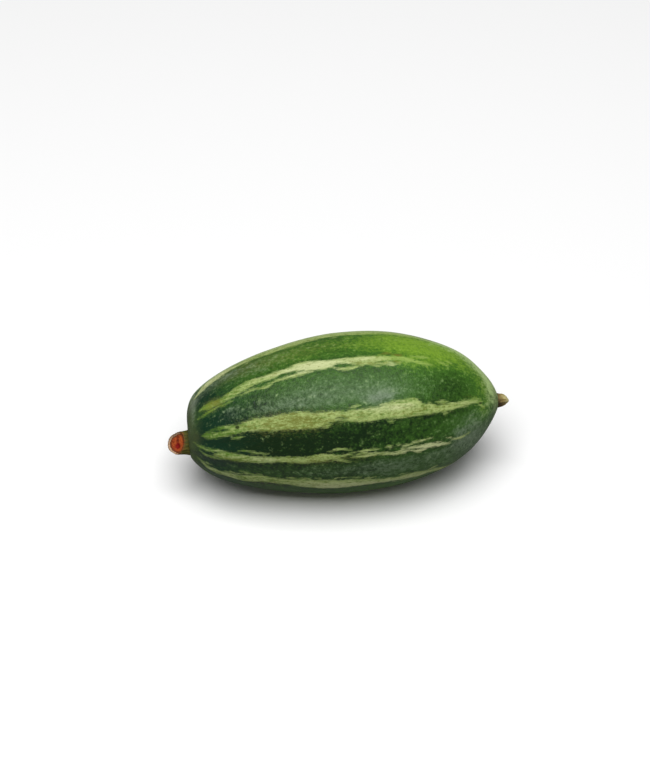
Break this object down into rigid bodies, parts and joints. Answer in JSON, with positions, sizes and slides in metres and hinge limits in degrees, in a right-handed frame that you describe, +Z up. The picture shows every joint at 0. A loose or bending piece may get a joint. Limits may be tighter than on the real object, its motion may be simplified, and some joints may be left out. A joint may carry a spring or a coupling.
{
  "type": "pointed gourd",
  "caption": "Whole striped pointed gourd as picked, lying down, with the cut stub of its stalk at the blunt end and a dried flower remnant at the tip.",
  "frame": {"origin": "middle of the box's underside, on the surface that the fruit lies on", "axes": "+Z up, +X along the fruit from the stem end to the blossom end"},
  "size_m": [0.0838, 0.0386, 0.0388],
  "materials": {
    "fruit_skin": "satin",
    "stem": "matte",
    "remnant": "matte"
  },
  "bodies": {
    "root": {"fruit": "fruit_skin", "stem_stub": "stem", "blossom_remnant": "remnant"}
  },
  "joints": []
}
